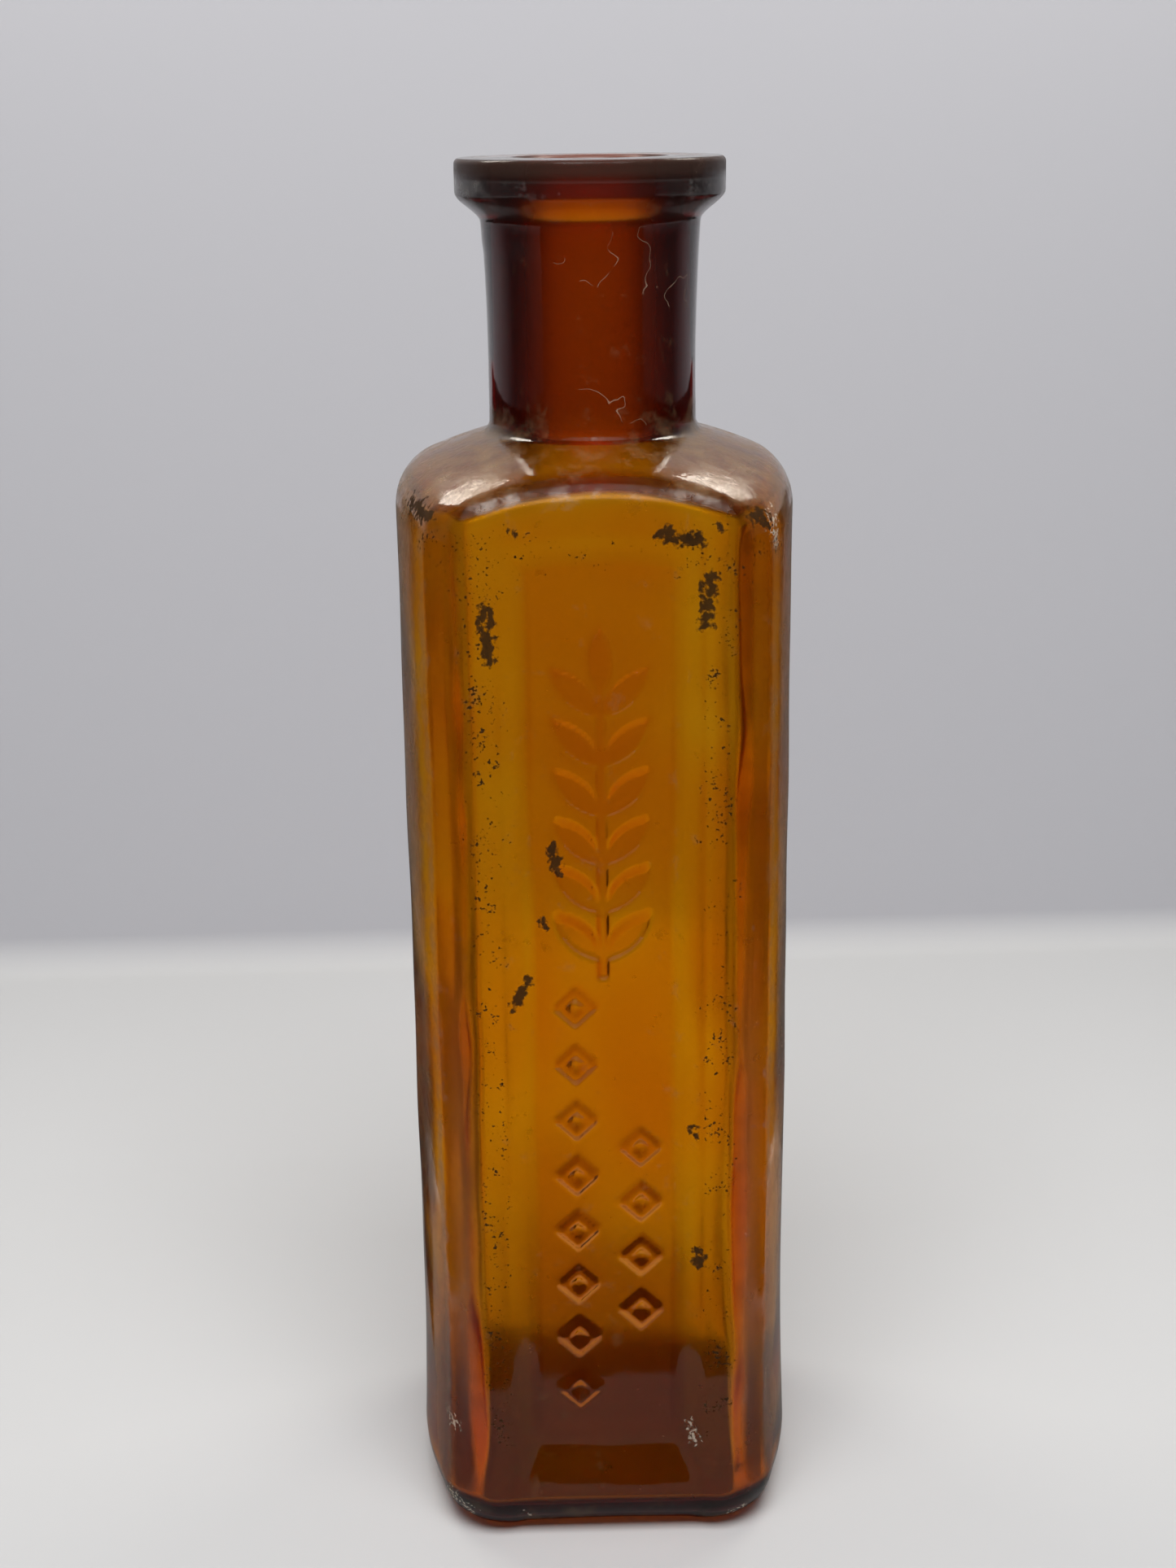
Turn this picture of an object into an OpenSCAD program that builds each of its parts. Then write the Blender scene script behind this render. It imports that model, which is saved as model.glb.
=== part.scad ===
// Dispensing bottle in thick glass: a blown and moulded vessel with a flat front and back, bowed
// sides, cut corners, a domed shoulder and a waisted neck, and a collar of glass round the neck's end.
// Millimetres. The origin is the centre of the base, +Z is up and the panel faces -Y.

/* [Body] */
// Width of the body across its bowed sides
body_w = 39.9; // [38:0.1:41]
// Depth of the body from its flat front to its flat back
body_d = 38; // [37:0.1:39]
// Distance from the axis to the face of a cut corner
corner_reach = 23.5; // [23:0.1:24]
// Radius of the bowed sides, seen from above
side_r = 43; // [41:1:60]
// Radius of the soft upright edges
edge_r = 2.2; // [1.5:0.1:3]
// Radius of the heel, where the sides turn in to the base
heel_r = 5; // [3:0.1:5.5]
// Radius of the heel's four corners, seen from above
heel_corner_r = 6; // [5.6:0.1:6.5]
// How far the heel swells out on each side
heel_swell = 0.4; // [0.1:0.1:1]
// Height over which the heel swells
heel_h = 16; // [12:1:25]

/* [Shoulder] */
// Radius of the shoulder's dome
dome_r = 42; // [36:1:60]
// Height that the dome's crown would reach under the neck
dome_top = 117.6; // [115:0.1:119]
// Radius of the ridge between the walls and the dome
ridge_r = 5.5; // [3:0.1:6]

/* [Neck] */
// Radius of the neck at its waist
waist_r = 10.35; // [9.5:0.05:11]
// Height of the waist above the base
waist_z = 122.5; // [119:0.5:125]
// Radius of the neck just under the collar
neck_top_r = 10.8; // [10.5:0.1:11.5]
// Radius of the blend between the shoulder and the neck
root_r = 1.2; // [0.6:0.1:2]

/* [Collar] */
// Height of the whole bottle
total_h = 142.5; // [138:0.5:150]
// Outer radius of the collar
collar_r = 13.25; // [12.5:0.05:14]
// Height of the collar, from its seat on the neck to the mouth
collar_h = 6.1; // [5:0.1:8]
// Radius of the neck's end inside the collar
spigot_r = 9.9; // [9:0.1:10.3]
// Height over which the collar's underside flows out from the neck
collar_under_h = 2.9; // [2:0.1:3.5]
// Radius of the collar's rim
rim_r = 0.6; // [0.3:0.1:1]

/* [Inside] */
// Radius of the straight bore that takes a cork
bore_r = 6.4; // [5.5:0.1:7.5]
// Thickness of the flat front and back walls
wall_t = 1.8; // [1.6:0.1:3]
// Thickness of the bowed side walls
side_t = 1.3; // [1.2:0.1:3]
// Thickness of the walls at the cut corners
corner_t = 2.2; // [1.8:0.1:3.5]
// Thickness of the base
base_t = 3; // [2.5:0.5:7]
// Radius of all the cavity's edges
cavity_edge_r = 1.5; // [1.2:0.1:3]
// How far the inside of the front wall bulges in behind the panel
backing_h = 1.5; // [0.5:0.1:2]
// Depth of the shallow dish under the base
dish_depth = 0.6; // [0.3:0.1:1]
// Radius of that dish
dish_r = 12; // [8:0.5:13]

/* [Front panel] */
// Width of the sunk panel at the front surface
panel_w = 20.4; // [16:0.2:22]
// Width of the panel's flat floor
panel_floor_w = 14.4; // [10:0.2:16]
// Depth of the sunk panel
panel_depth = 0.9; // [0.5:0.1:1.2]
// Height of the panel's lower edge
panel_low = 5; // [4:0.5:12]
// Height of the top of the panel's arch
panel_high = 109; // [100:0.5:109]
// Rise of the arch from its ends to its middle
arch_rise = 1; // [1:0.1:3]
// Length of the sloped border at the panel's foot
low_slope = 6; // [3:0.5:8]
// Length of the sloped border under the panel's arch
high_slope = 3; // [2:0.5:4]

/* [Relief] */
// How far the relief stands up from the panel
relief_h = 0.5; // [0.2:0.1:0.6]
// Height of the sprig's foot
sprig_low = 64; // [62:0.5:66]
// Number of leaf pairs on the sprig
leaf_pairs = 6; // [4:1:6]
// Number of lozenges in the long row
long_row = 8; // [4:1:8]
// Number of lozenges in the short row
short_row = 4; // [2:1:6]

/* [Hidden] */

$fn = 96;
eps = 0.01;
half_w = body_w / 2;
half_d = body_d / 2;
over = 1;
arc_step = 15;
ball_fn = 24;
dome_fn = 72;
corner_fn = 48;
side_fn = 90;
amber = [0.55, 0.28, 0.04];
dark_amber = [0.42, 0.20, 0.04];

// Height where the upright edges start to soften towards the ridge
ridge_low = 100;

// Collar and neck end
collar_z = total_h - collar_h;
mouth_r = 0.7;
bore_root_z = 117;
bore_flare_r = 2.5;
flow_steps = 10;

// Neck outline: a shallow parabola through the waist and the neck's top radius
neck_curve = (neck_top_r - waist_r) / pow(collar_z - waist_z, 2);
function neck_r(z) = waist_r + neck_curve * pow(max(z - waist_z, 0), 2);
function dome_z(r) = dome_top - dome_r + sqrt(dome_r * dome_r - r * r);

// Cavity
cavity_dome_r = dome_r - wall_t - cavity_edge_r;
dish_sphere_r = (dish_r * dish_r + dish_depth * dish_depth) / (2 * dish_depth);

// Front panel, and the glass behind it, which starts a little outside the inner face
floor_low = panel_low + low_slope;
floor_high = panel_high - high_slope;
backing_lap = 0.5;
backing_grow = 1;

// Relief: a sprig above, and two rows of open lozenges below it
relief_sink = 0.3;
leaf_half_l = 3.3;
leaf_w = 2.4;
leaf_step = 5;
leaf_lean = 45;
stem_w = 0.9;
lozenge_w = 4.4;
lozenge_h = 4.2;
lozenge_line = 0.9;
lozenge_step = 6.2;
long_row_x = -2.9;
long_row_low = 17.5;
short_row_x = 3.6;
short_row_low = long_row_low + 1.5 * lozenge_step;

// A column seen from above, with flat front and back, cut corners and bowed sides: the distances
// of its front and of its cut corners from the axis, and the radius of its sides
module cut_outline(front, corner, bow_r) {
    intersection() {
        square([2 * side_r, 2 * front], center = true);
        rotate(45) square(2 * corner, center = true);
        for_both_sides(half_w - side_r) circle(r = bow_r, $fn = side_fn);
    }
}

// The body seen from above, drawn in by inset
module column_outline(inset) {
    cut_outline(half_d - inset, corner_reach - inset, side_r - inset);
}

// What both of two mirrored copies share, one at x and the other at -x
module for_both_sides(x) {
    intersection() {
        translate([x, 0]) children();
        translate([-x, 0]) children();
    }
}

// The same outline with its corners rounded, and moved out by grow
module rounded_outline(corner_r, grow) {
    offset(r = corner_r + grow, $fn = corner_fn) column_outline(corner_r);
}

// Ball whose facets reach r exactly at its poles and its equator, so what it rounds keeps its size
module ball(r) {
    sphere(r = r / cos(180 / ball_fn), $fn = ball_fn);
}

// Wide column with a domed top, whose centre of curvature lies on the bottle's axis
module domed_column(r) {
    centre_z = dome_top - dome_r;
    cylinder(r = r, h = centre_z, $fn = dome_fn);
    translate([0, 0, centre_z]) sphere(r = r, $fn = dome_fn);
}

// Body and shoulder before anything is sunk in them: slices up the heel, slices at the foot and the
// head of the upright walls, and a block under the dome with its ridge rounded off
module body_blank() {
    hull() {
        for (a = [0:arc_step:90]) translate([0, 0, heel_r * (1 - cos(a))])
            linear_extrude(eps) rounded_outline(heel_corner_r, heel_swell - heel_r * (1 - sin(a)));
        for (z = [heel_h, ridge_low]) translate([0, 0, z])
            linear_extrude(eps) rounded_outline(edge_r, 0);
        minkowski() {
            intersection() {
                translate([0, 0, ridge_low + ridge_r])
                    linear_extrude(dome_top - ridge_low) column_outline(ridge_r);
                domed_column(dome_r - ridge_r);
            }
            ball(ridge_r);
        }
    }
}

// Solid neck with its blend into the shoulder, a ledge for the collar and a spigot through it
module neck_blank() {
    root_z = dome_z(waist_r + root_r) + root_r;
    steps = 8;
    rotate_extrude() polygon(concat(
        [[0, dome_top - 5]],
        [[waist_r + root_r + 1, dome_z(waist_r + root_r + 1) - 0.5]],
        [for (a = [0:arc_step:75]) [waist_r + root_r * (1 - sin(a)), root_z - root_r * cos(a)]],
        [for (i = [0:steps]) let (z = root_z + (collar_z - root_z) * i / steps) [neck_r(z), z]],
        [[spigot_r, collar_z], [spigot_r, total_h], [0, total_h]]
    ));
}

// Straight bore, flared into the cavity below and eased at the mouth above
module bore_space() {
    flare_z = bore_root_z - bore_flare_r;
    translate([0, 0, flare_z]) cylinder(r = bore_r, h = total_h - flare_z + over);
    rotate_extrude() polygon(concat(
        [[0, flare_z - over], [bore_r + bore_flare_r, flare_z - over]],
        [for (a = [0:arc_step:90]) [bore_r + bore_flare_r * (1 - sin(a)), bore_root_z - bore_flare_r * cos(a)]],
        [[0, bore_root_z]]
    ));
    rotate_extrude() polygon(concat(
        [[0, total_h - mouth_r]],
        [for (a = [0:arc_step:90]) [bore_r + mouth_r * (1 - cos(a)), total_h - mouth_r * (1 - sin(a))]],
        [[bore_r + mouth_r, total_h + over], [0, total_h + over]]
    ));
}

// Hollow of the body, under the inside of the dome
module cavity() {
    difference() {
        minkowski() {
            intersection() {
                translate([0, 0, base_t + cavity_edge_r]) linear_extrude(dome_top) cavity_core();
                domed_column(cavity_dome_r);
            }
            ball(cavity_edge_r);
        }
        panel_backing();
    }
}

// The hollow seen from above, drawn in by the radius of its edges
module cavity_core() {
    inset = cavity_edge_r;
    cut_outline(half_d - wall_t - inset, corner_reach - corner_t - inset, side_r - side_t - inset);
}

// Outline of the panel at one level, with its arched top
module panel_outline(w, low, high) {
    arch_r = (w * w / 4 + arch_rise * arch_rise) / (2 * arch_rise);
    intersection() {
        translate([-w / 2, low]) square([w, high - low]);
        translate([0, high - arch_r]) circle(r = arch_r, $fn = 180);
    }
}

// Thin plate in the shape of the panel's outline, grown on every edge, at a distance from the axis
module panel_plate(distance, grow) {
    translate([0, 0, distance]) linear_extrude(eps)
        panel_outline(panel_w + 2 * grow, panel_low - grow, panel_high + grow);
}

// The same for the outline of the panel's floor
module floor_plate(distance) {
    translate([0, 0, distance]) linear_extrude(eps) panel_outline(panel_floor_w, floor_low, floor_high);
}

// Space of the sunk panel, its border sloping from the front surface to the panel's floor
module panel_space() {
    rotate([90, 0, 0]) hull() {
        floor_plate(half_d - panel_depth);
        panel_plate(half_d, 0);
        panel_plate(half_d + heel_swell + over, 0);
    }
}

// Glass pressed in behind the panel as its front was sunk
module panel_backing() {
    rotate([90, 0, 0]) hull() {
        floor_plate(half_d - wall_t - backing_h);
        panel_plate(half_d - wall_t + backing_lap, backing_grow);
    }
}

// One leaf: the overlap of two equal circles, pointing up from its foot
module leaf() {
    circle_r = (leaf_half_l * leaf_half_l + leaf_w * leaf_w / 4) / leaf_w;
    translate([0, leaf_half_l]) intersection() {
        translate([circle_r - leaf_w / 2, 0]) circle(r = circle_r);
        translate([leaf_w / 2 - circle_r, 0]) circle(r = circle_r);
    }
}

// Upright sprig of paired leaves with one leaf at its tip
module sprig() {
    tip = leaf_pairs * leaf_step;
    translate([-stem_w / 2, 0]) square([stem_w, tip]);
    translate([0, tip - 1]) leaf();
    for (i = [1:leaf_pairs], side = [-1, 1])
        translate([0, i * leaf_step - 3]) rotate(side * leaf_lean) leaf();
}

// Diamond outline with its centre left low
module lozenge() {
    w = lozenge_w / 2;
    h = lozenge_h / 2;
    inner = 1 - lozenge_line * sqrt(w * w + h * h) / (w * h);
    difference() {
        polygon([[-w, 0], [0, -h], [w, 0], [0, h]]);
        polygon(inner * [[-w, 0], [0, -h], [w, 0], [0, h]]);
    }
}

// Upright row of lozenges
module lozenge_row(count) {
    for (i = [0:count - 1]) translate([0, i * lozenge_step]) lozenge();
}

// Raised decoration on the panel's floor
module relief() {
    rotate([90, 0, 0]) translate([0, 0, half_d - panel_depth - relief_sink])
        linear_extrude(relief_sink + relief_h) {
            translate([0, sprig_low]) sprig();
            translate([long_row_x, long_row_low]) lozenge_row(long_row);
            translate([short_row_x, short_row_low]) lozenge_row(short_row);
        }
}

// Shallow dish under the base, which leaves a flat ring to stand on
module dish_space() {
    translate([0, 0, dish_depth - dish_sphere_r]) sphere(r = dish_sphere_r, $fn = 180);
}

module glass_vessel() {
    color(amber) {
        difference() {
            union() {
                body_blank();
                neck_blank();
            }
            cavity();
            bore_space();
            panel_space();
            dish_space();
        }
        relief();
    }
}

// Collar: a ring of glass seated on the neck's ledge, flowing out of the neck to an eased rim
module lip_collar() {
    flow = [for (t = [0:1 / flow_steps:1])
        [neck_top_r + (collar_r - neck_top_r) * t * t * (3 - 2 * t), collar_z + collar_under_h * t]];
    color(dark_amber) rotate_extrude() polygon(concat(
        [[spigot_r, collar_z]],
        flow,
        [for (a = [0:arc_step:90]) [collar_r - rim_r * (1 - cos(a)), total_h - rim_r * (1 - sin(a))]],
        [[spigot_r, total_h]]
    ));
}

glass_vessel();
lip_collar();
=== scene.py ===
"""Amber glass dispensing bottle with a worn surface, standing on a pale floor."""
import math

import bpy
import numpy as np
from mathutils import Matrix, Vector


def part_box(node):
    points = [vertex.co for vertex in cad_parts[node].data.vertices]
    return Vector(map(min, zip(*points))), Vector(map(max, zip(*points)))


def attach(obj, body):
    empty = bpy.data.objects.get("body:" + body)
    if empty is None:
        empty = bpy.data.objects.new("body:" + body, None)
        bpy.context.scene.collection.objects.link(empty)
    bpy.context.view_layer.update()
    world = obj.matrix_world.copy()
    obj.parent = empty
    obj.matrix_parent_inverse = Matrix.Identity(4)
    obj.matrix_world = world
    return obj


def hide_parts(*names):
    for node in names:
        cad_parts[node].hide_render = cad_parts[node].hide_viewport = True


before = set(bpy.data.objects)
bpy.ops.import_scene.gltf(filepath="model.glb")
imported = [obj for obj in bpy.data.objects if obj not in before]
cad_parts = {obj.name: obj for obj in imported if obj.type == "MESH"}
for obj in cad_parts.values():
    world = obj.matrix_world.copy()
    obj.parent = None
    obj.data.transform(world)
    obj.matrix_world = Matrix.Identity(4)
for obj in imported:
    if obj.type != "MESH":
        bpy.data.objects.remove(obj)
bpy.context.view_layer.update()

MM = 0.001

# ---------------------------------------------------------------- sizes, in millimetres
vessel_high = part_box("glass_vessel")[1]
collar_low, collar_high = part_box("lip_collar")
TOTAL_H = vessel_high.z / MM
COLLAR_R = collar_high.x / MM
COLLAR_Z = collar_low.z / MM

HALF_W = 19.95
HALF_D = 19.0
CORNER_REACH = 23.5
SIDE_R = 43.0
EDGE_R = 2.2
HEEL_SWELL = 0.4
HEEL_H = 21.0
HEEL_R = 5.0
HEEL_CORNER_R = 6.0
HEEL_ROUND_H = 14.0
DOME_R = 42.0
DOME_CENTRE_Z = 117.6 - DOME_R
RIDGE_R = 5.5
WAIST_R = 10.35
WAIST_Z = 122.5
NECK_TOP_R = 10.8
ROOT_R = 1.2
COLLAR_UNDER_H = 2.9
RIM_R = 0.6
MOUTH_R = 0.7
BORE_R = 6.4
BORE_ROOT_Z = 117.0
FLARE_R = 2.5
WALL_T = 1.8
SIDE_T = 1.3
CORNER_T = 2.2
BASE_T = 3.0
PANEL_BACKING = 1.5
CAVITY_CORNER_R = 1.5
CAVITY_EDGE_R = 1.5
DISH_R = 12.0
DISH_DEPTH = 0.6

PANEL_HALF_W = 10.2
PANEL_FLOOR_HALF_W = 7.2
PANEL_DEPTH = 0.9
PANEL_LOW = 5.0
PANEL_HIGH = 109.0
PANEL_LOW_SLOPE = 6.0
PANEL_HIGH_SLOPE = 3.0
ARCH_RISE = 1.0

RELIEF_H = 0.5
RELIEF_EDGE = 0.5
SPRIG_LOW = 64.0
LEAF_PAIRS = 6
LEAF_STEP = 5.0
LEAF_HALF_L = 3.3
LEAF_W = 2.4
LEAF_LEAN = math.radians(45)
STEM_W = 0.9
LOZENGE_HALF_W = 2.2
LOZENGE_HALF_H = 2.1
LOZENGE_LINE = 0.9
LOZENGE_STEP = 6.2
LONG_ROW = (-2.9, 17.5, 8)
SHORT_ROW = (3.6, 17.5 + 1.5 * LOZENGE_STEP, 4)

# How far the blown glass waves in and out, as a share of the distance from the axis.
OUTER_WAVE = 0.0022
INNER_WAVE = 0.010

# Where the wear lies: the shoulder's lower edge and the upright edges of the cut corners.
SHOULDER_Z = 109.8
EDGE_X = 16.9

# Marks on the front: the two ends of a line (x, z) and how far the mark spreads from it.
GRIME_MARKS = [
    ((6.0, 108.8), (9.3, 108.0), 1.3), ((-10.9, 101.8), (-10.6, 97.0), 1.2),
    ((10.5, 104.6), (10.0, 100.0), 1.1), ((-4.9, 77.9), (-4.5, 75.6), 0.9),
    ((-7.6, 64.2), (-9.0, 61.0), 0.9), ((-6.2, 70.2), (-5.6, 69.4), 0.7),
    ((9.0, 47.6), (9.2, 46.9), 0.8), ((9.4, 33.5), (9.8, 32.2), 1.0),
    ((14.6, 110.2), (15.8, 109.4), 1.0), ((-17.2, 110.6), (-16.4, 110.4), 1.4),
    ((11.2, 109.7), (11.4, 109.2), 0.7), ((-8.5, 109.2), (-7.6, 109.0), 0.6),
]
CHIP_MARKS = [
    ((-16.6, 13.5), (-16.2, 12.6), 1.0), ((-16.9, 4.2), (-14.8, 2.6), 1.3),
    ((13.2, 2.0), (14.4, 2.4), 1.0), ((8.6, 13.2), (9.2, 11.0), 1.0),
    ((16.2, 110.3), (17.0, 107.0), 1.0), ((-9.6, 3.0), (-8.4, 2.6), 0.6),
]
THREAD_MARKS = [
    ((3.5, 134.5), (7.5, 130.5), 2.6), ((-0.5, 120.4), (5.0, 119.0), 1.6),
    ((-3.0, 132.5), (0.5, 132.0), 1.2),
]

BACKDROP_Y = 152.0
BACKDROP_TURN = 1.2
PAPER_HALF = 1500.0
FLOOR_COLOUR = (0.60, 0.602, 0.605, 1)
WALL_COLOUR = (0.555, 0.555, 0.59, 1)


# ---------------------------------------------------------------- small helpers
def smoothstep(t):
    t = np.clip(t, 0.0, 1.0)
    return t * t * (3.0 - 2.0 * t)


def waves(points, seed, count, shortest, longest):
    """A smooth random field of about unit size: a sum of sine waves in random directions."""
    draw = np.random.RandomState(seed)
    total = np.zeros(points.shape[:-1])
    for _ in range(count):
        direction = draw.normal(size=3)
        direction /= np.linalg.norm(direction)
        length = math.exp(draw.uniform(math.log(shortest), math.log(longest)))
        total += np.sin(points @ direction * (2 * math.pi / length) + draw.uniform(0, 2 * math.pi))
    return total / math.sqrt(count / 2)


def steps(start, stop, size, last=False):
    """Evenly spaced numbers from start towards stop, about size apart."""
    count = max(1, round(abs(stop - start) / size))
    return list(np.linspace(start, stop, count + 1)[: None if last else -1])


def add_mesh(name, verts_mm, faces, smooth=True):
    mesh = bpy.data.meshes.new(name)
    mesh.from_pydata([tuple(v) for v in np.asarray(verts_mm) * MM], [], faces)
    mesh.validate()
    mesh.polygons.foreach_set("use_smooth", [smooth] * len(mesh.polygons))
    obj = bpy.data.objects.new(name, mesh)
    bpy.context.scene.collection.objects.link(obj)
    return obj


# ---------------------------------------------------------------- the bottle's outlines
def column_corners(half_w, half_d, reach, side_r):
    """Corners, anticlockwise, of a column with flat front and back, cut corners and bowed sides.

    reach is the distance of the cut corners' faces from the axis.
    """
    side_x = half_w - side_r
    side_turn = math.asin((reach * math.sqrt(2) - side_x) / side_r / math.sqrt(2)) - math.pi / 4
    side = [(side_x + side_r * math.cos(a), side_r * math.sin(a))
            for a in np.linspace(-side_turn, side_turn, 25)]
    flat = reach * math.sqrt(2) - half_d
    right = [(flat, -half_d)] + side + [(flat, half_d)]
    return np.array(right + [(-x, -y) for x, y in right])


def column_outline(angles, half_w, half_d, reach, side_r, corner_r):
    """Distance from the axis to a column's outline, with its corners rounded."""
    corners = column_corners(half_w - corner_r, half_d - corner_r, reach - corner_r,
                             side_r - corner_r)
    directions = np.stack([np.cos(angles), np.sin(angles)], axis=1)
    near = np.zeros(len(angles))
    far = np.full(len(angles), 2.0 * half_w)
    for _ in range(40):
        middle = (near + far) / 2
        points = directions * middle[:, None]
        inside = np.ones(len(angles), bool)
        gap = np.full(len(angles), np.inf)
        for start, end in zip(corners, np.roll(corners, -1, axis=0)):
            side, offset = end - start, points - start
            inside &= side[0] * offset[:, 1] - side[1] * offset[:, 0] >= 0
            along = np.clip(offset @ side / (side @ side), 0, 1)
            gap = np.minimum(gap, np.linalg.norm(offset - along[:, None] * side, axis=1))
        is_in = inside | (gap <= corner_r)
        near = np.where(is_in, middle, near)
        far = np.where(is_in, far, middle)
    return (near + far) / 2


def front_columns(flat):
    """Places across the front face, closest on the relief and at the lines of the panel."""
    stops = [(0, 6.8, 0.26), (6.8, 7.6, 0.2), (7.6, 9.8, 0.55), (9.8, 10.6, 0.27),
             (10.6, flat - 2, 0.6)]
    half = [x for stop in stops for x in steps(*stop)] + steps(flat - 2, flat, 0.25, last=True)
    return [-x for x in half[:0:-1]] + half


def column_angles():
    """The direction of each upright column of the bottle's mesh, anticlockwise from the left."""
    corners = column_corners(HALF_W, HALF_D, CORNER_REACH, SIDE_R)
    flat, (edge_x, edge_y) = corners[0, 0], -corners[1] * (-1, 1)
    cut = [(flat + (edge_x - flat) * t, -HALF_D + (HALF_D - edge_y) * t) for t in steps(0, 1, 0.08)]
    side_x = HALF_W - SIDE_R
    side_y = steps(-edge_y, -edge_y + 1, 0.25) + steps(-edge_y + 1, edge_y - 1, 1.4)
    side_y += steps(edge_y - 1, edge_y, 0.25, last=True)
    side = [(side_x + math.sqrt(SIDE_R ** 2 - y ** 2), y) for y in side_y]
    right = cut[1:] + side + [(x, -y) for x, y in cut[:0:-1]]
    back = [(-x, HALF_D) for x in steps(-flat, -flat + 2, 0.3) + steps(-flat + 2, flat - 2, 1.8)
            + steps(flat - 2, flat, 0.3, last=True)]
    left = [(-x, -y) for x, y in right]
    points = [(x, -HALF_D) for x in front_columns(flat)] + right + back + left
    if len(points) % 2:
        points.insert(-1, tuple(np.mean(points[-2:], axis=0)))
    return np.array([math.atan2(y, x) for x, y in points])


def ring(angles, radius, height):
    radius = np.broadcast_to(radius, angles.shape)
    height = np.broadcast_to(height, angles.shape)
    return np.stack([radius * np.cos(angles), radius * np.sin(angles), height], axis=1)


def domed_wall(angles, wall, dome_r, fillet_r, low_z, low_r, heights, swell):
    """Rings up a wall, over its rounded top edge and in over a dome, to the radius low_r."""
    centre_r = wall - fillet_r
    centre_z = DOME_CENTRE_Z + np.sqrt((dome_r - fillet_r) ** 2 - centre_r ** 2)
    lean = np.arctan2(centre_z - DOME_CENTRE_Z, centre_r)
    rings = []
    for t in heights:
        z = low_z + t * (centre_z - low_z)
        rings.append(ring(angles, wall + swell(z), z))
    for t in steps(0, 1, 1 / 9)[1:]:
        a = lean * t
        rings.append(ring(angles, centre_r + fillet_r * np.cos(a), centre_z + fillet_r * np.sin(a)))
    start_r = dome_r * np.cos(lean)
    for t in steps(0, 1, 1 / 16, last=True):
        r = start_r + (low_r - start_r) * t
        rings.append(ring(angles, r, DOME_CENTRE_Z + np.sqrt(dome_r ** 2 - r ** 2)))
    return rings


def outer_rings(angles):
    """Rings of the outside, from the middle of the base up to the middle of the rim."""
    shape = (HALF_W, HALF_D, CORNER_REACH, SIDE_R)
    wall = column_outline(angles, *shape, EDGE_R)
    heel = column_outline(angles, *shape, HEEL_CORNER_R)

    def heel_swell(z):
        swell = HEEL_SWELL * np.clip((HEEL_H - z) / (HEEL_H - HEEL_R), 0, 1) ** 2
        rounding = np.clip((HEEL_ROUND_H - z) / (HEEL_ROUND_H - HEEL_R), 0, 1) ** 2
        return swell + (heel - wall) * rounding

    rings = []
    for r in steps(2, DISH_R, 1.25):
        rings.append(ring(angles, r, DISH_DEPTH * (1 - (r / DISH_R) ** 2)))
    heel_in = heel + HEEL_SWELL - HEEL_R
    for t in steps(0, 1, 1 / 4):
        rings.append(ring(angles, DISH_R + (heel_in - DISH_R) * t, 0.0))
    for a in np.radians(steps(0, 90, 10)):
        rings.append(ring(angles, heel_in + HEEL_R * math.sin(a), HEEL_R * (1 - math.cos(a))))

    wall_h, relief_low, relief_high = 104.0, 9.0, 97.0
    heights = steps(0, relief_low / wall_h, 0.7 / wall_h)
    heights += steps(relief_low / wall_h, relief_high / wall_h, 0.41 / wall_h)
    heights += steps(relief_high / wall_h, 1, 0.6 / wall_h, last=True)
    root_centre = WAIST_R + ROOT_R
    root_centre_z = DOME_CENTRE_Z + math.sqrt((DOME_R + ROOT_R) ** 2 - root_centre ** 2)
    root_lean = math.atan2(root_centre_z - DOME_CENTRE_Z, root_centre)
    dome_end = DOME_R * math.cos(root_lean)
    rings += domed_wall(angles, wall, DOME_R, RIDGE_R, HEEL_R, dome_end, heights, heel_swell)

    for a in steps(root_lean, 0, math.radians(10), last=True)[1:]:
        r = root_centre - ROOT_R * math.cos(a)
        rings.append(ring(angles, r, root_centre_z - ROOT_R * math.sin(a)))
    curve = (NECK_TOP_R - WAIST_R) / (COLLAR_Z - WAIST_Z) ** 2
    for z in steps(root_centre_z, COLLAR_Z, 0.9, last=True)[1:]:
        rings.append(ring(angles, WAIST_R + curve * max(z - WAIST_Z, 0) ** 2, z))
    for t in steps(0, 1, 1 / 14, last=True)[1:]:
        r = NECK_TOP_R + (COLLAR_R - NECK_TOP_R) * float(smoothstep(t))
        rings.append(ring(angles, r, COLLAR_Z + COLLAR_UNDER_H * t))
    rim_low = TOTAL_H - RIM_R
    for z in steps(COLLAR_Z + COLLAR_UNDER_H, rim_low, 0.5)[1:]:
        rings.append(ring(angles, COLLAR_R, z))
    for a in np.radians(steps(0, 90, 15, last=True)):
        r = COLLAR_R - RIM_R * (1 - math.cos(a))
        rings.append(ring(angles, r, rim_low + RIM_R * math.sin(a)))
    rim_in = COLLAR_R - RIM_R
    mouth_out = BORE_R + MOUTH_R
    for t in steps(0, 1, 1 / 8)[1:]:
        rings.append(ring(angles, rim_in + (mouth_out - rim_in) * t, TOTAL_H))
    return rings


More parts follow.
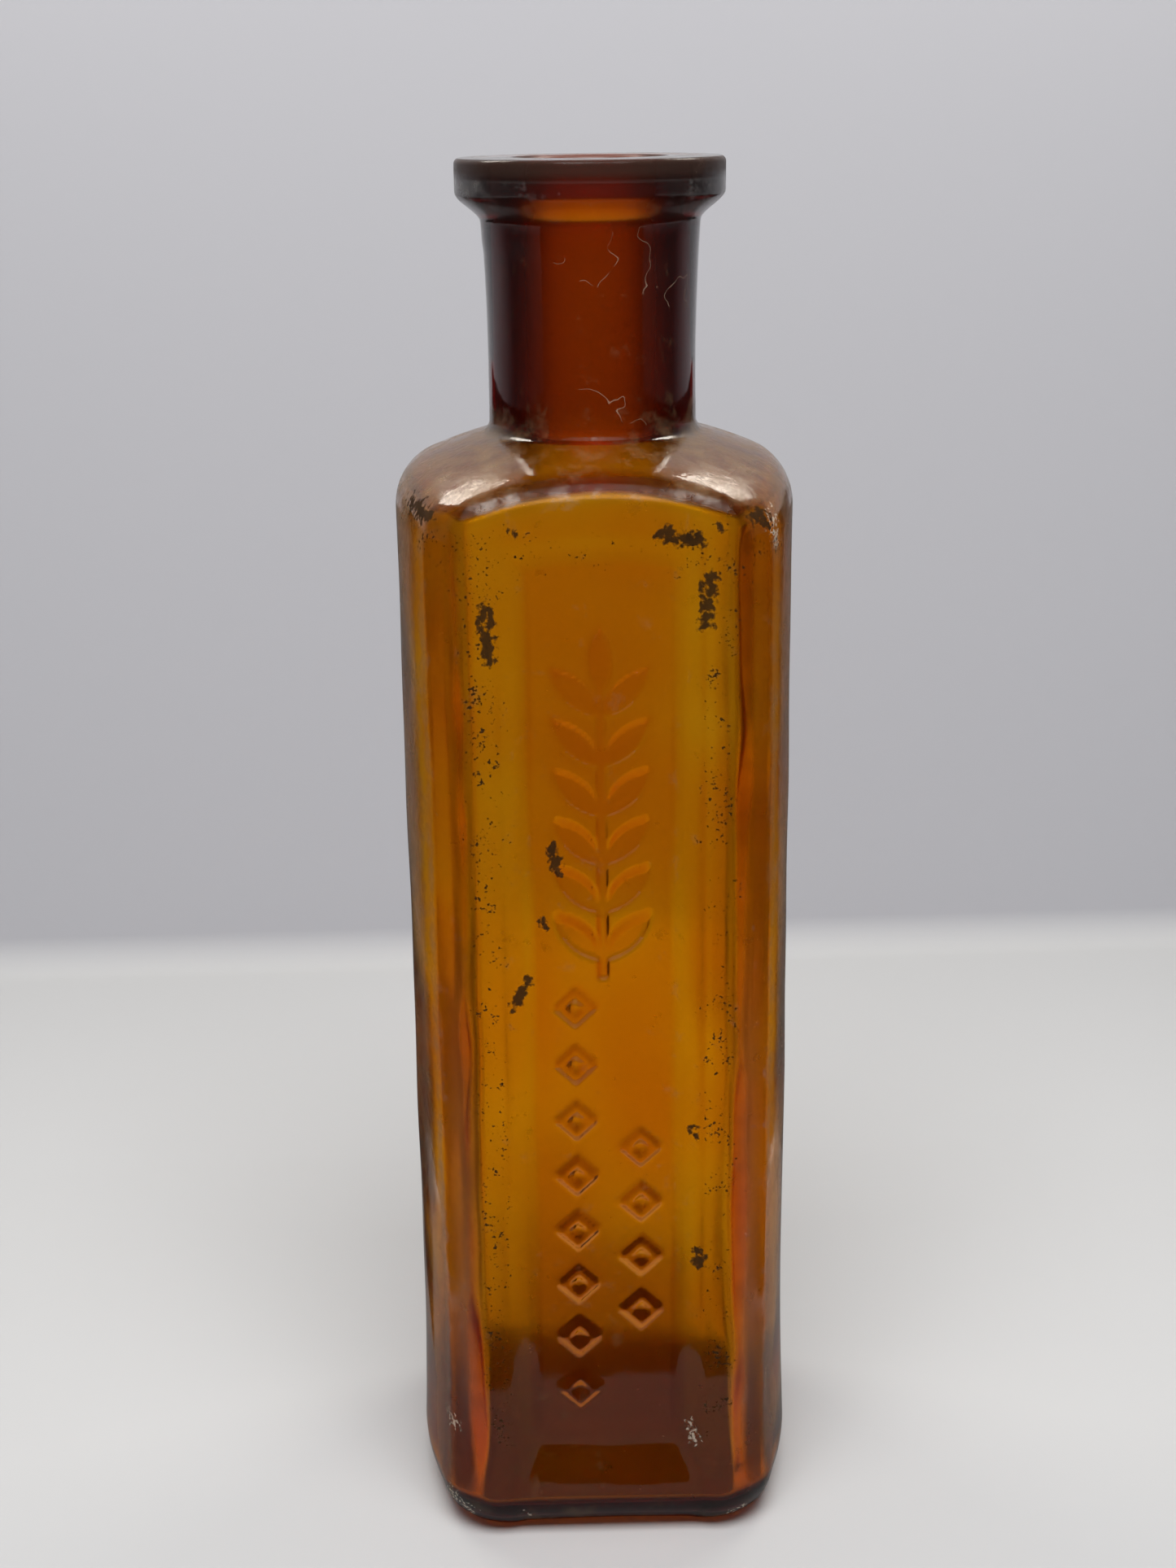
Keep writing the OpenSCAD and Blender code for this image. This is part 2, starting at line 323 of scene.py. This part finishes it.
def inner_rings(angles):
    """Rings of the inside, from the mouth's edge down to the middle of the cavity's floor."""
    wall = column_outline(angles, HALF_W - SIDE_T, HALF_D - WALL_T, CORNER_REACH - CORNER_T,
                          SIDE_R - SIDE_T, CAVITY_CORNER_R)
    rings = []
    for a in np.radians(steps(90, 0, 15, last=True)):
        rings.append(ring(angles, BORE_R + MOUTH_R * (1 - math.cos(a)),
                          TOTAL_H - MOUTH_R * (1 - math.sin(a))))
    for z in steps(TOTAL_H - MOUTH_R, BORE_ROOT_Z, 0.9, last=True)[1:]:
        rings.append(ring(angles, BORE_R, z))
    dome_r = DOME_R - WALL_T
    flare_centre = BORE_R + FLARE_R
    flare_z = DOME_CENTRE_Z + math.sqrt((dome_r + FLARE_R) ** 2 - flare_centre ** 2)
    lean = math.atan2(flare_z - DOME_CENTRE_Z, flare_centre)
    for a in steps(0, lean, math.radians(12), last=True)[1:]:
        r = flare_centre - FLARE_R * math.cos(a)
        rings.append(ring(angles, r, flare_z - FLARE_R * math.sin(a)))
    low_z = BASE_T + CAVITY_EDGE_R
    heights = steps(0, 1, 1.3 / 100, last=True)
    up = domed_wall(angles, wall, dome_r, CAVITY_EDGE_R, low_z, dome_r * math.cos(lean), heights,
                    lambda z: 0.0)
    rings += up[::-1][1:]
    floor_in = wall - CAVITY_EDGE_R
    for a in np.radians(steps(0, 90, 12, last=True))[1:]:
        r = floor_in + CAVITY_EDGE_R * math.cos(a)
        rings.append(ring(angles, r, low_z - CAVITY_EDGE_R * math.sin(a)))
    for t in steps(1, 0.12, 0.08, last=True)[1:]:
        rings.append(ring(angles, floor_in * t, BASE_T))
    return rings


# ---------------------------------------------------------------- the front panel
def arch_top(x, half_w, high):
    radius = (half_w ** 2 + ARCH_RISE ** 2) / (2 * ARCH_RISE)
    return high - radius + np.sqrt(radius ** 2 - np.clip(x, -half_w, half_w) ** 2)


def panel_depth(x, z):
    """How deep the sunk panel is at a place on the front face."""
    from_side = (PANEL_HALF_W - np.abs(x)) / (PANEL_HALF_W - PANEL_FLOOR_HALF_W)
    from_low = (z - PANEL_LOW) / PANEL_LOW_SLOPE
    from_top = (arch_top(x, PANEL_HALF_W, PANEL_HIGH) - z) / PANEL_HIGH_SLOPE
    share = np.clip(np.minimum(np.minimum(from_side, from_low), from_top), 0, 1)
    return PANEL_DEPTH * (0.75 * share + 0.25 * smoothstep(share))


def leaf_gap(x, z):
    """Signed distance to a leaf whose foot is at the origin and which points up."""
    circle_r = (LEAF_HALF_L ** 2 + LEAF_W ** 2 / 4) / LEAF_W
    offset = circle_r - LEAF_W / 2
    z = z - LEAF_HALF_L
    return np.maximum(np.hypot(x - offset, z), np.hypot(x + offset, z)) - circle_r


def sprig_gap(x, z):
    """Signed distance to the sprig: a stem, pairs of leaves and one leaf at the tip."""
    z = z - SPRIG_LOW
    tip = LEAF_PAIRS * LEAF_STEP
    gap = np.maximum(np.abs(x) - STEM_W / 2, np.abs(z - tip / 2) - tip / 2)
    gap = np.minimum(gap, leaf_gap(x, z - tip + 1))
    for pair in range(1, LEAF_PAIRS + 1):
        for side in (-1, 1):
            c, s = math.cos(side * LEAF_LEAN), math.sin(side * LEAF_LEAN)
            up = z - pair * LEAF_STEP + 3
            gap = np.minimum(gap, leaf_gap(c * x + s * up, -s * x + c * up))
    return gap


def row_gap(x, z, row):
    """Signed distance to a row of open lozenges."""
    row_x, low, count = row
    gap = np.full(np.shape(x), np.inf)
    slope = math.hypot(LOZENGE_HALF_W, LOZENGE_HALF_H) / (LOZENGE_HALF_W * LOZENGE_HALF_H)
    for i in range(count):
        across = np.abs(x - row_x) / LOZENGE_HALF_W
        up = np.abs(z - low - i * LOZENGE_STEP) / LOZENGE_HALF_H
        outer = (across + up - 1) / slope
        gap = np.minimum(gap, np.maximum(outer, -outer - LOZENGE_LINE))
    return gap


def relief_height(x, z):
    gap = np.minimum(sprig_gap(x, z), np.minimum(row_gap(x, z, LONG_ROW), row_gap(x, z, SHORT_ROW)))
    return RELIEF_H * smoothstep(0.5 - gap / RELIEF_EDGE)


def sink_panel(points):
    """Presses the panel and its relief into the front face."""
    x, y, z = points[..., 0], points[..., 1], points[..., 2]
    on_front = (y < -HALF_D + EDGE_R) & (np.abs(x) <= PANEL_HALF_W) & (z > PANEL_LOW)
    depth = panel_depth(x, z) - relief_height(x, z)
    points[..., 1] = np.where(on_front, y + depth, y)


def back_panel(points):
    """Presses the inside of the front wall in behind the panel, where the glass is thicker."""
    x, y, z = points[..., 0], points[..., 1], points[..., 2]
    depth = np.maximum(panel_depth(x, z), 0)
    floor = smoothstep((depth - 0.8 * PANEL_DEPTH) / (0.2 * PANEL_DEPTH))
    inward = (depth + (PANEL_BACKING - PANEL_DEPTH) * floor) * smoothstep((z - BASE_T) / 5)
    points[..., 1] = y + np.where(y < -HALF_D + WALL_T + 1, inward, 0)


# ---------------------------------------------------------------- wear
def wear_amount(x, y, z):
    """How worn the outside is, from 0 to 1."""
    across = np.abs(x)
    away = smoothstep((across - 4) / 8)
    edge = 0.5 * np.exp(-((across - EDGE_X) / 0.45) ** 2) * (np.abs(y) < HALF_D - 0.5) * (z < 112)
    side = 0.55 * smoothstep((across - EDGE_X - 0.2) / 1.2) * smoothstep((z - 18) / 30)
    shoulder = (0.14 + 0.42 * away) * smoothstep((z - SHOULDER_Z) / 2.5) * smoothstep((121 - z) / 4)
    lip = 0.3 * smoothstep((z - COLLAR_Z - 1) / 1.5) * away
    rim = 0.32 * smoothstep((z - TOTAL_H + 0.5) / 0.3)
    heel = 0.2 * smoothstep((6 - z) / 5)
    panel_line = 0.12 * np.exp(-((across - PANEL_FLOOR_HALF_W) / 0.25) ** 2)
    panel_line = panel_line * (y < 0) * (z > 12) * (z < 105)
    return np.max([edge, side, shoulder, lip, rim, heel, panel_line], axis=0)


def soil_amount(x, y, z):
    """How many specks of dirt there are: most along the front's edges and the panel's arch."""
    rim = np.exp(-((np.abs(x) - 11.5) / 3.0) ** 2) + 0.8 * np.exp(-((z - 107) / 4) ** 2)
    return np.clip(0.1 + rim, 0, 1) * smoothstep((z - 4) / 10) * smoothstep((112 - z) / 3) * (y < 0)


def mark_amount(x, y, z, marks):
    """Closeness to the marks: 1 on a mark's line, 0 at its width and below 0 beyond it."""
    closest = np.full(len(x), -1.0)
    for (x0, z0), (x1, z1), width in marks:
        run, rise = x1 - x0, z1 - z0
        t = np.clip(((x - x0) * run + (z - z0) * rise) / (run ** 2 + rise ** 2), 0, 1)
        gap = np.hypot(x - x0 - t * run, z - z0 - t * rise)
        closest = np.maximum(closest, np.where(y < 0, 1 - gap / width, -1))
    return closest


# ---------------------------------------------------------------- the glass piece
def surface_values(x, y, z, is_inside):
    """What the material needs to know at each point: where dust, dirt and wear lie, and where shade
    is painted.
    """
    def only_outside(value):
        return (1 - is_inside) * value

    def marks(places):
        return np.where(is_inside > 0, -1.0, mark_amount(x, y, z, places))

    across = np.abs(x)
    in_neck = smoothstep((z - BORE_ROOT_Z + 8) / 10)
    lip_side = smoothstep((z - COLLAR_Z + 1) / 2) * (0.35 + 0.65 * smoothstep((across - 5) / 5))
    lip_side *= smoothstep((TOTAL_H + 0.1 - z) / 0.5)
    # Painted shade, partly dust: a band down each side of the front by the cut corners, darkened
    # through the film's grey tint.
    low_corner_shade = np.exp(-((across - 14.6) / 1.2) ** 2) * (y < 0)
    low_corner_shade *= smoothstep((75 - z) / 40) * smoothstep((z - 8) / 10)
    # A darker band at the top of the lip's outside.
    lip_dark_band = 0.7 * smoothstep((z - 140.4) / 1.0) * (np.hypot(x, y) > COLLAR_R - 0.4)
    # Painted shade on the bore's left and right sides as seen from the front, and a darker band
    # inside the mouth at the front.
    bore_shade_and_dark_band = np.maximum(in_neck * smoothstep((across - 4.5) / 1.6),
                              0.7 * smoothstep((z - 139.5) / 2) * smoothstep((1 - y) / 3))
    return {
        "inside": is_inside,
        "film_and_shade": is_inside * (0.03 + 0.75 * in_neck)
        + only_outside(np.maximum(0.4 * lip_side, 0.65 * low_corner_shade)),
        "shade_and_dark_band": np.where(is_inside > 0, bore_shade_and_dark_band, lip_dark_band),
        "wear": only_outside(wear_amount(x, y, z)),
        "grime": marks(GRIME_MARKS),
        "chips": marks(CHIP_MARKS),
        "soil": only_outside(soil_amount(x, y, z)),
        "threads": marks(THREAD_MARKS),
    }


def wavy_surfaces(angles):
    """Rings of points of the outside and of the inside, with the waves of blown glass."""
    outer = np.array(outer_rings(angles))
    inner = np.array(inner_rings(angles[::2]))
    sink_panel(outer)
    height = outer[..., 2]
    swell = OUTER_WAVE * waves(outer, 11, 24, 9, 40) * smoothstep((height - 3) / 8)
    outer[..., :2] *= np.where(height < TOTAL_H - 8, 1 + swell, 1)[..., None]
    back_panel(inner)
    height = inner[..., 2]
    body = smoothstep((height - BASE_T) / 6) * smoothstep((BORE_ROOT_Z - 2 - height) / 6)
    inner[..., :2] *= (1 + INNER_WAVE * body * waves(inner, 12, 24, 10, 45))[..., None]
    return outer, inner


def make_glass():
    """The whole bottle as one closed mesh: outside, rim, inside, base and cavity floor."""
    outer, inner = wavy_surfaces(column_angles())
    columns, half_columns = outer.shape[1], inner.shape[1]
    inner_first = len(outer) * columns
    base = inner_first + len(inner) * half_columns
    floor = base + 1
    verts = np.concatenate([outer.reshape(-1, 3), inner.reshape(-1, 3),
                            [(0, 0, DISH_DEPTH), (0, 0, BASE_T)]])
    faces = []
    for first, count, rings in ((0, columns, len(outer)), (inner_first, half_columns, len(inner))):
        for low in range(first, first + (rings - 1) * count, count):
            high = low + count
            for j in range(count):
                k = (j + 1) % count
                faces.append((low + j, low + k, high + k, high + j))
    rim = (len(outer) - 1) * columns
    for j in range(half_columns):
        a, b, c = rim + 2 * j, rim + 2 * j + 1, rim + (2 * j + 2) % columns
        d, e = inner_first + j, inner_first + (j + 1) % half_columns
        faces += [(a, b, d), (b, e, d), (b, c, e)]
    faces += [((j + 1) % columns, j, base) for j in range(columns)]
    last = base - half_columns
    faces += [(last + j, last + (j + 1) % half_columns, floor) for j in range(half_columns)]

    bottle = add_mesh("glass_bottle", verts, faces)
    is_inside = np.zeros(len(verts))
    is_inside[inner_first:base] = 1
    is_inside[floor] = 1
    for name, value in surface_values(*verts.T, is_inside).items():
        bottle.data.attributes.new(name, "FLOAT", "POINT").data.foreach_set("value", value)
    return bottle


# ---------------------------------------------------------------- materials
AMBER = (0.960, 0.818, 0.0, 1)
AMBER_DENSITY = 2000
GLASS_IOR = 1.52
# The film's tint and colour also paint shade on the bands by the front's cut corners.
FILM_AND_SHADE_TINT = (0.5, 0.5, 0.47, 1)
WEAR_COLOUR = (0.28, 0.18, 0.09, 1)
FILM_AND_SHADE_COLOUR = (0.36, 0.34, 0.32, 1)
# Also the painted shade on the bore's sides and the darker band at the top of the lip.
SHADE_AND_DARK_BAND_COLOUR = (0.055, 0.03, 0.022, 1)
THREAD_COLOUR = (0.52, 0.38, 0.27, 1)
CHIP_COLOUR = (0.60, 0.53, 0.42, 1)
GRIME_COLOUR = (0.035, 0.016, 0.005, 1)


def new_material(name):
    material = bpy.data.materials.new(name)
    material.use_nodes = True
    nodes, links = material.node_tree.nodes, material.node_tree.links
    return material, nodes, links, nodes["Principled BSDF"]


class Nodes:
    """Short ways to add the nodes that a material is made of."""

    def __init__(self, material_nodes, links):
        self.nodes, self.links = material_nodes, links
        self.place = material_nodes.new("ShaderNodeTexCoord").outputs["Object"]

    def put(self, socket, value):
        if isinstance(value, (int, float, tuple)):
            socket.default_value = value
        else:
            self.links.new(value, socket)

    def attribute(self, name):
        node = self.nodes.new("ShaderNodeAttribute")
        node.attribute_name = name
        return node.outputs["Fac"]

    def noise(self, size_mm, detail=2.0):
        """Smooth noise with features of about the given size."""
        node = self.nodes.new("ShaderNodeTexNoise")
        node.inputs["Scale"].default_value = 1 / (size_mm * MM)
        node.inputs["Detail"].default_value = detail
        self.links.new(self.place, node.inputs["Vector"])
        return node.outputs["Fac"]

    def math(self, operation, a, b=0.0):
        node = self.nodes.new("ShaderNodeMath")
        node.operation = operation
        self.put(node.inputs[0], a)
        self.put(node.inputs[1], b)
        return node.outputs["Value"]

    def blend(self, *terms):
        """The sum of (value, factor) pairs."""
        total = self.math("MULTIPLY", *terms[0])
        for value, factor in terms[1:]:
            total = self.math("ADD", total, self.math("MULTIPLY", value, factor))
        return total

    def ramp(self, value, low, high, to_low=0.0, to_high=1.0):
        """The value, spread from the range low to high onto to_low to to_high, and clamped."""
        node = self.nodes.new("ShaderNodeMapRange")
        node.inputs["From Min"].default_value = low
        node.inputs["From Max"].default_value = high
        node.inputs["To Min"].default_value = to_low
        node.inputs["To Max"].default_value = to_high
        self.put(node.inputs["Value"], value)
        return node.outputs["Result"]

    def mix(self, factor, a, b):
        node = self.nodes.new("ShaderNodeMix")
        node.data_type = "RGBA"
        self.put(node.inputs["Factor"], factor)
        self.put(node.inputs["A"], a)
        self.put(node.inputs["B"], b)
        return node.outputs["Result"]


def dirt_masks(n):
    """Where each kind of wear, dirt and painted shade lies, from 0 to 1, and the patchy noise
    behind them.
    """
    fine, patchy, ragged = n.noise(0.35), n.noise(2.2, detail=4.0), n.noise(0.7, detail=6.0)
    marks = n.ramp(n.blend((n.attribute("grime"), 0.8), (ragged, 2.2)), 1.35, 1.6, 0.0, 0.93)
    specks = n.ramp(n.blend((fine, 1.0), (patchy, 0.5), (n.attribute("soil"), 0.3)), 1.19, 1.26)
    contour = n.math("ABSOLUTE", n.math("SUBTRACT", n.noise(4.0), 0.5))
    threaded = n.ramp(n.blend((n.attribute("threads"), 1.0), (patchy, 1.0)), 0.55, 0.75)
    return {
        "patchy": patchy,
        "film_and_shade": n.attribute("film_and_shade"),
        "shade_and_dark_band": n.attribute("shade_and_dark_band"),
        "worn": n.ramp(n.blend((n.attribute("wear"), 1.0), (patchy, 1.4), (fine, 0.5)), 1.15, 1.8),
        "grime": n.math("MAXIMUM", marks, specks),
        "chips": n.ramp(n.blend((n.attribute("chips"), 0.5), (fine, 1.8)), 1.25, 1.45),
        "threads": n.math("MULTIPLY", n.ramp(contour, 0.002, 0.006, 0.4, 0.0), threaded),
    }


def glass_material():
    """Amber glass, with a dull second shader mixed in where dust and dirt cover it and where shade
    is painted.
    """
    material, nodes, links, glass = new_material("amber_glass")
    output = nodes["Material Output"]
    n = Nodes(nodes, links)
    inside = n.attribute("inside")
    mask = dirt_masks(n)

    links.new(n.mix(mask["film_and_shade"], (1, 1, 1, 1), FILM_AND_SHADE_TINT), glass.inputs["Base Color"])
    rough = n.blend((inside, 0.17), (mask["worn"], 0.22), (mask["chips"], 0.3),
                    (mask["patchy"], 0.06), (mask["film_and_shade"], 0.25))
    links.new(n.ramp(rough, 0.0, 1.0, 0.03, 1.0), glass.inputs["Roughness"])
    glass.inputs["Transmission Weight"].default_value = 1.0
    glass.inputs["IOR"].default_value = GLASS_IOR

    dust = nodes.new("ShaderNodeBsdfPrincipled")
    colour = WEAR_COLOUR
    # The film and residue layers also carry painted shade: bands by the front's cut corners and the
    # bore's sides.
    layers = [("film_and_shade", 0.05, FILM_AND_SHADE_COLOUR), ("shade_and_dark_band", 0.2, SHADE_AND_DARK_BAND_COLOUR),
              ("threads", 0.1, THREAD_COLOUR), ("chips", 0.2, CHIP_COLOUR),
              ("grime", 0.1, GRIME_COLOUR)]
    for name, full_at, dirt_colour in layers:
        colour = n.mix(n.ramp(mask[name], 0.0, full_at), colour, dirt_colour)
    links.new(colour, dust.inputs["Base Color"])
    dust.inputs["Roughness"].default_value = 0.8
    dust.inputs["Specular IOR Level"].default_value = 0.15
    covered = n.blend((mask["worn"], 0.42), (mask["film_and_shade"], 0.09), (mask["shade_and_dark_band"], 0.8),
                      (mask["threads"], 1.0), (mask["chips"], 0.6), (mask["grime"], 1.0))
    cover = nodes.new("ShaderNodeMixShader")
    links.new(n.ramp(covered, 0.0, 1.0), cover.inputs["Fac"])
    links.new(glass.outputs["BSDF"], cover.inputs[1])
    links.new(dust.outputs["BSDF"], cover.inputs[2])
    links.new(cover.outputs["Shader"], output.inputs["Surface"])

    height = n.blend((n.noise(3.5), 0.02), (n.math("MULTIPLY", inside, n.noise(5.0)), 0.03),
                     (n.math("MULTIPLY", n.attribute("wear"), n.noise(0.8, detail=3.0)), 0.05))
    bump = nodes.new("ShaderNodeBump")
    bump.inputs["Distance"].default_value = MM
    links.new(height, bump.inputs["Height"])
    links.new(bump.outputs["Normal"], glass.inputs["Normal"])
    links.new(bump.outputs["Normal"], dust.inputs["Normal"])

    volume = nodes.new("ShaderNodeVolumeAbsorption")
    volume.inputs["Color"].default_value = AMBER
    volume.inputs["Density"].default_value = AMBER_DENSITY
    links.new(volume.outputs["Volume"], output.inputs["Volume"])
    return material


def plain_material(name, colour, roughness):
    material, _, _, shader = new_material(name)
    shader.inputs["Base Color"].default_value = (*colour, 1)
    shader.inputs["Roughness"].default_value = roughness
    return material


# ---------------------------------------------------------------- stage, lights and camera
def add_plane(name, corners, material):
    obj = add_mesh(name, corners, [(0, 1, 2, 3)], smooth=False)
    obj.data.materials.append(material)
    return obj


def make_stage():
    """A sheet of paper that turns up from floor to backdrop, clear when seen from behind."""
    turn_r, under = 6.0, 0.05
    material, nodes, links, shader = new_material("stage_paper")
    n = Nodes(nodes, links)
    height = nodes.new("ShaderNodeSeparateXYZ")
    links.new(n.place, height.inputs[0])
    up = n.ramp(height.outputs["Z"], 0.0, turn_r * MM)
    links.new(n.mix(up, FLOOR_COLOUR, WALL_COLOUR), shader.inputs["Base Color"])
    shader.inputs["Roughness"].default_value = 0.85
    clear, one_way = nodes.new("ShaderNodeBsdfTransparent"), nodes.new("ShaderNodeMixShader")
    links.new(nodes.new("ShaderNodeNewGeometry").outputs["Backfacing"], one_way.inputs["Fac"])
    links.new(shader.outputs["BSDF"], one_way.inputs[1])
    links.new(clear.outputs["BSDF"], one_way.inputs[2])
    links.new(one_way.outputs["Shader"], nodes["Material Output"].inputs["Surface"])

    turn = [(BACKDROP_Y - turn_r * (1 - math.sin(a)), turn_r * (1 - math.cos(a)))
            for a in np.radians(steps(0, 90, 10, last=True))]
    profile = [(-PAPER_HALF, 0.0)] + turn + [(BACKDROP_Y, PAPER_HALF)]
    swing = math.tan(math.radians(BACKDROP_TURN))
    verts = [(x, y + x * swing, z - under) for y, z in profile for x in (-PAPER_HALF, PAPER_HALF)]
    faces = [(2 * i, 2 * i + 1, 2 * i + 3, 2 * i + 2) for i in range(len(profile) - 1)]
    paper = add_mesh("paper", verts, faces)
    paper.data.materials.append(material)


def make_painted_shade_cards():
    """Painted shade: dark cards around the bottle, off camera, that show only in it and light
    nothing.
    """
    def card(name, low, high, rays, shade=0.02):
        """One card between two corners, seen only by the given kinds of ray."""
        (x0, y0, z0), (x1, y1, z1) = low, high
        if z0 == z1:
            corners = [(x0, y0, z0), (x1, y0, z0), (x1, y1, z0), (x0, y1, z0)]
        else:
            corners = [(x0, y0, z0), (x1, y1, z0), (x1, y1, z1), (x0, y0, z1)]
        flag = add_plane(name, corners, plain_material("stage_" + name, (shade,) * 3, 0.9))
        flag.visible_camera = flag.visible_diffuse = False
        flag.visible_volume_scatter = flag.visible_shadow = False
        flag.visible_glossy = "glossy" in rays
        flag.visible_transmission = "transmission" in rays

    glossy, both = ["glossy"], ["glossy", "transmission"]
    # Painted dark reflections of a dark room in front, at the sides and behind, and painted dark
    # surroundings seen through the glass.
    card("painted_dark_front", (-64, -50, 0), (64, -50, 420), glossy)
    for side, name in ((-1, "left"), (1, "right")):
        card("painted_dark_near_" + name, (side * 64, -50, 0), (side * 64, 85, 112), glossy)
        card("painted_dark_behind_" + name, (side * 23, 70, 0), (side * 130, 70, 98), glossy, 0.17)
        card("painted_dark_far_" + name, (side * 60, -78, 115), (side * 60, 146, 300), ["transmission"])
    # Painted shadow of the bottle on the floor around and in front of it, seen only in reflections.
    card("painted_floor_shadow", (-62, -50, -0.035), (62, 72, -0.035), glossy, 0.17)
    card("painted_floor_shadow_front", (-24, -50, -0.03), (24, -16, -0.03), glossy, 0.26)
    # Painted contact shadow under the base, seen through the glass and in reflections.
    card("painted_contact_shadow", (-22, -22, -0.02), (22, 22, -0.02), both, 0.24)
    # Painted dark reflection of a dark thing low on the left.
    card("painted_dark_low_left", (-32, 16, 0), (-32, 75, 52), both)


def add_area(name, place, aim, size, power, colour):
    """An area light, in metres and watts, that faces the point aim."""
    data = bpy.data.lights.new(name, "AREA")
    data.shape = "RECTANGLE"
    data.size, data.size_y = size
    data.energy = power
    data.color = colour
    obj = bpy.data.objects.new(name, data)
    obj.location = place
    obj.rotation_mode = "QUATERNION"
    obj.rotation_quaternion = (Vector(aim) - Vector(place)).to_track_quat("-Z", "Y")
    bpy.context.scene.collection.objects.link(obj)
    return obj


def make_lights():
    overhead = add_area("overhead", (0.0, -0.22, 0.50), (0, -0.05, 0), (0.36, 0.26), 2.85,
                        (1, 1, 1))
    overhead.visible_glossy = False
    for side in (-1, 1):
        place, size = (side * 0.115, 0.115, 0.30), (0.09, 0.06)
        add_area("rim_light", place, (0, 0, 0.1), size, 0.16, (1, 0.95, 0.84))
    world = bpy.data.worlds.new("studio")
    bpy.context.scene.world = world
    world.use_nodes = True
    world.node_tree.nodes["Background"].inputs["Color"].default_value = (0.5, 0.5, 0.52, 1)
    world.node_tree.nodes["Background"].inputs["Strength"].default_value = 0.14


def make_camera():
    data = bpy.data.cameras.new("camera")
    data.sensor_width = 36
    data.lens = 51.5
    data.clip_start = 0.01
    data.clip_end = 20
    camera = bpy.data.objects.new("camera", data)
    bpy.context.scene.collection.objects.link(camera)
    pitch, pan, roll = math.radians(17.07), math.radians(1.21), math.radians(-0.72)
    level = math.cos(pitch)
    forward = Vector((math.sin(pan) * level, math.cos(pan) * level, -math.sin(pitch)))
    right = forward.cross(Vector((0, 0, 1))).normalized()
    up = right.cross(forward)
    turned_right = right * math.cos(roll) + up * math.sin(roll)
    turned_up = up * math.cos(roll) - right * math.sin(roll)
    axes = Matrix((turned_right, turned_up, -forward)).transposed()
    camera.rotation_mode = "QUATERNION"
    camera.rotation_quaternion = axes.to_quaternion()
    camera.location = Vector((-5.7, -226.2, 148.15)) * MM
    bpy.context.scene.camera = camera


def set_look():
    scene = bpy.context.scene
    scene.view_settings.view_transform = "Standard"
    cycles = scene.cycles
    cycles.max_bounces = 24
    cycles.transmission_bounces = 24
    cycles.glossy_bounces = 8
    cycles.diffuse_bounces = 4
    cycles.caustics_reflective = True
    cycles.caustics_refractive = True
    cycles.blur_glossy = 0.5
    cycles.use_denoising = True


make_camera()
make_stage()
make_painted_shade_cards()
make_lights()
set_look()

glass = make_glass()
glass.data.materials.append(glass_material())
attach(glass, "root")
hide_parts("glass_vessel", "lip_collar")
